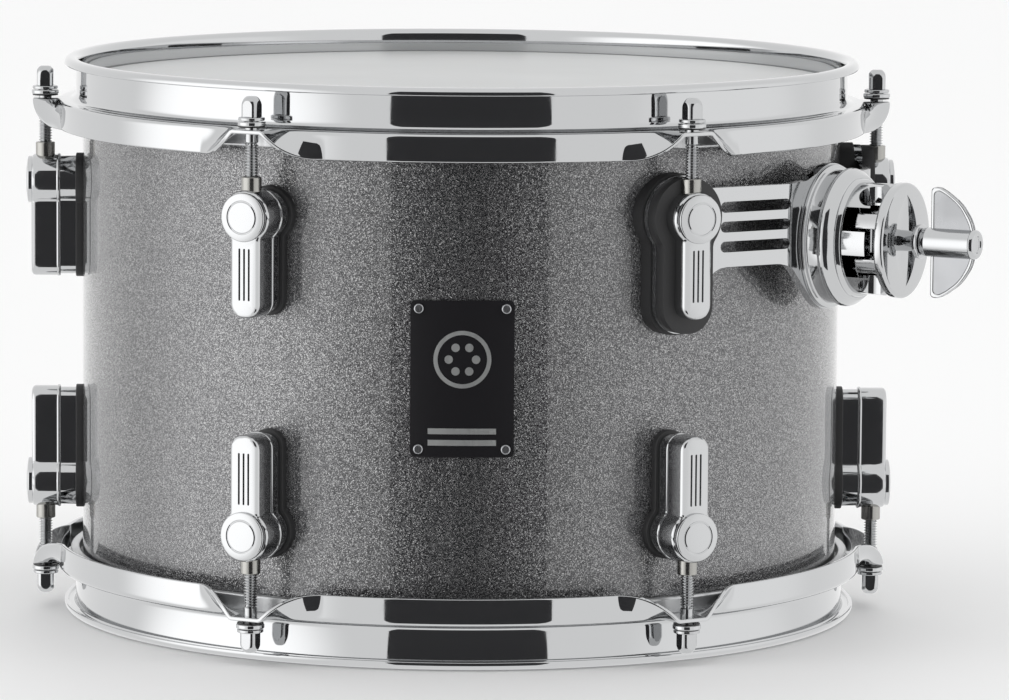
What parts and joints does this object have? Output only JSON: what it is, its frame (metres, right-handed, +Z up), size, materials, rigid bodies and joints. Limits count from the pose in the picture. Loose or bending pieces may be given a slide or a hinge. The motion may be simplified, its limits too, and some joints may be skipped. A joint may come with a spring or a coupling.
{
  "type": "tom tom drum",
  "caption": "Rack tom drum with a sparkle-wrapped ply shell, two heads in chrome triple-flanged hoops, chrome tube-style lugs and a rubber-cushioned side mount with a rod clamp.",
  "frame": {"origin": "on the drum's axis, in the plane of the lower hoop's rim, where the drum stands", "axes": "+Z up the drum's axis towards the batter head; -Y is the front, where the badge is; the rod clamp is on the +X side, 60 degrees round from the front"},
  "size_m": [0.3741, 0.326, 0.2222],
  "materials": {
    "maple_ply": "satin lacquered maple ply",
    "sparkle_wrap": "grey metal-flake film under clear gloss",
    "badge_black": "black anodised",
    "badge_metal": "brushed",
    "coated_film": "coated polyester film",
    "clear_film": "clear polyester film",
    "aluminium": "mill finish",
    "gasket": "moulded rubber",
    "cushion_rubber": "moulded rubber",
    "nylon": "black nylon",
    "nickel_brass": "nickel-plated",
    "plated_steel": "zinc-plated steel",
    "chrome": "polished chrome plating"
  },
  "bodies": {
    "drum": {"shell": "maple_ply", "shell_wrap": "sparkle_wrap", "badge_plate": "badge_black", "badge_inlay": "badge_metal", "badge_screws": "plated_steel", "batter_head_film": "coated_film", "batter_flesh_hoop": "aluminium", "resonant_head_film": "clear_film", "resonant_flesh_hoop": "aluminium", "top_tension_nuts": "nickel_brass", "top_lug_gaskets": "gasket", "top_lug_back_left": "chrome", "top_lug_left": "chrome", "top_lug_front_left": "chrome", "top_lug_front_right": "chrome", "top_lug_right": "chrome", "top_lug_back_right": "chrome", "bottom_tension_nuts": "nickel_brass", "bottom_lug_gaskets": "gasket", "bottom_lug_back_left": "chrome", "bottom_lug_left": "chrome", "bottom_lug_front_left": "chrome", "bottom_lug_front_right": "chrome", "bottom_lug_right": "chrome", "bottom_lug_back_right": "chrome", "lug_screws": "plated_steel", "mount_lug_screws": "plated_steel", "lug_screw_washers": "plated_steel", "mount_bracket": "chrome", "clamp_base": "chrome", "clamp_base_screws": "plated_steel", "clamp_bolt": "plated_steel", "mount_rear_cushion_front_right": "cushion_rubber", "mount_front_cushion_front_right": "cushion_rubber", "mount_rear_cushion_right": "cushion_rubber", "mount_front_cushion_right": "cushion_rubber"},
    "top_hoop_set": {"top_hoop": "chrome", "top_rod_bushings": "nylon", "top_rod_washers": "chrome"},
    "top_rod_front_left_set": {"top_rod_front_left": "chrome"},
    "top_rod_back_left_set": {"top_rod_back_left": "chrome"},
    "top_rod_left_set": {"top_rod_left": "chrome"},
    "top_rod_front_right_set": {"top_rod_front_right": "chrome"},
    "top_rod_right_set": {"top_rod_right": "chrome"},
    "top_rod_back_right_set": {"top_rod_back_right": "chrome"},
    "bottom_hoop_set": {"bottom_hoop": "chrome", "bottom_rod_bushings": "nylon", "bottom_rod_washers": "chrome"},
    "bottom_rod_front_left_set": {"bottom_rod_front_left": "chrome"},
    "bottom_rod_back_left_set": {"bottom_rod_back_left": "chrome"},
    "bottom_rod_left_set": {"bottom_rod_left": "chrome"},
    "bottom_rod_front_right_set": {"bottom_rod_front_right": "chrome"},
    "bottom_rod_right_set": {"bottom_rod_right": "chrome"},
    "bottom_rod_back_right_set": {"bottom_rod_back_right": "chrome"},
    "clamp_jaw_set": {"clamp_jaw": "chrome", "wing_washer": "chrome"},
    "wing": {"wing_nut": "chrome"}
  },
  "joints": [
    {"name": "top_hoop_lift", "type": "slide", "parent": "drum", "child": "top_hoop_set", "axis": [0, 0, 1], "range_m": [0, 0.01693]},
    {"name": "top_rod_turn_front_left", "type": "hinge", "parent": "top_hoop_set", "child": "top_rod_front_left_set", "pos_m": [-0.0835, -0.14463, 0.206], "axis": [0, 0, 1], "range_deg": [0, 5760]},
    {"name": "top_rod_turn_back_left", "type": "hinge", "parent": "top_hoop_set", "child": "top_rod_back_left_set", "pos_m": [-0.0835, 0.14463, 0.206], "axis": [0, 0, 1], "range_deg": [0, 5760]},
    {"name": "top_rod_turn_left", "type": "hinge", "parent": "top_hoop_set", "child": "top_rod_left_set", "pos_m": [-0.167, 0, 0.206], "axis": [0, 0, 1], "range_deg": [0, 5760]},
    {"name": "top_rod_turn_front_right", "type": "hinge", "parent": "top_hoop_set", "child": "top_rod_front_right_set", "pos_m": [0.0835, -0.14463, 0.206], "axis": [0, 0, 1], "range_deg": [0, 5760]},
    {"name": "top_rod_turn_right", "type": "hinge", "parent": "top_hoop_set", "child": "top_rod_right_set", "pos_m": [0.167, 0, 0.206], "axis": [0, 0, 1], "range_deg": [0, 5760]},
    {"name": "top_rod_turn_back_right", "type": "hinge", "parent": "top_hoop_set", "child": "top_rod_back_right_set", "pos_m": [0.0835, 0.14463, 0.206], "axis": [0, 0, 1], "range_deg": [0, 5760]},
    {"name": "bottom_hoop_lift", "type": "slide", "parent": "drum", "child": "bottom_hoop_set", "axis": [0, 0, -1], "range_m": [0, 0.01693]},
    {"name": "bottom_rod_turn_front_left", "type": "hinge", "parent": "bottom_hoop_set", "child": "bottom_rod_front_left_set", "pos_m": [-0.0835, -0.14463, 0.0162], "axis": [0, 0, -1], "range_deg": [0, 5760]},
    {"name": "bottom_rod_turn_back_left", "type": "hinge", "parent": "bottom_hoop_set", "child": "bottom_rod_back_left_set", "pos_m": [-0.0835, 0.14463, 0.0162], "axis": [0, 0, -1], "range_deg": [0, 5760]},
    {"name": "bottom_rod_turn_left", "type": "hinge", "parent": "bottom_hoop_set", "child": "bottom_rod_left_set", "pos_m": [-0.167, 0, 0.0162], "axis": [0, 0, -1], "range_deg": [0, 5760]},
    {"name": "bottom_rod_turn_front_right", "type": "hinge", "parent": "bottom_hoop_set", "child": "bottom_rod_front_right_set", "pos_m": [0.0835, -0.14463, 0.0162], "axis": [0, 0, -1], "range_deg": [0, 5760]},
    {"name": "bottom_rod_turn_right", "type": "hinge", "parent": "bottom_hoop_set", "child": "bottom_rod_right_set", "pos_m": [0.167, 0, 0.0162], "axis": [0, 0, -1], "range_deg": [0, 5760]},
    {"name": "bottom_rod_turn_back_right", "type": "hinge", "parent": "bottom_hoop_set", "child": "bottom_rod_back_right_set", "pos_m": [0.0835, 0.14463, 0.0162], "axis": [0, 0, -1], "range_deg": [0, 5760]},
    {"name": "clamp_slide", "type": "slide", "parent": "drum", "child": "clamp_jaw_set", "axis": [0.866, -0.5, 0], "range_m": [0, 0.004]},
    {"name": "wing_turn", "type": "hinge", "parent": "clamp_jaw_set", "child": "wing", "pos_m": [0.181, -0.1045, 0.1589], "axis": [0.866, -0.5, 0], "range_deg": [0, 1440]}
  ],
  "couplings": [
    {"joint": "top_rod_turn_front_left", "follows": "top_hoop_lift", "rad_per_m": 5938.7},
    {"joint": "top_rod_turn_back_left", "follows": "top_hoop_lift", "rad_per_m": 5938.7},
    {"joint": "top_rod_turn_left", "follows": "top_hoop_lift", "rad_per_m": 5938.7},
    {"joint": "top_rod_turn_front_right", "follows": "top_hoop_lift", "rad_per_m": 5938.7},
    {"joint": "top_rod_turn_right", "follows": "top_hoop_lift", "rad_per_m": 5938.7},
    {"joint": "top_rod_turn_back_right", "follows": "top_hoop_lift", "rad_per_m": 5938.7},
    {"joint": "bottom_rod_turn_front_left", "follows": "bottom_hoop_lift", "rad_per_m": 5938.7},
    {"joint": "bottom_rod_turn_back_left", "follows": "bottom_hoop_lift", "rad_per_m": 5938.7},
    {"joint": "bottom_rod_turn_left", "follows": "bottom_hoop_lift", "rad_per_m": 5938.7},
    {"joint": "bottom_rod_turn_front_right", "follows": "bottom_hoop_lift", "rad_per_m": 5938.7},
    {"joint": "bottom_rod_turn_right", "follows": "bottom_hoop_lift", "rad_per_m": 5938.7},
    {"joint": "bottom_rod_turn_back_right", "follows": "bottom_hoop_lift", "rad_per_m": 5938.7},
    {"joint": "wing_turn", "follows": "clamp_slide", "rad_per_m": 6283.2}
  ]
}
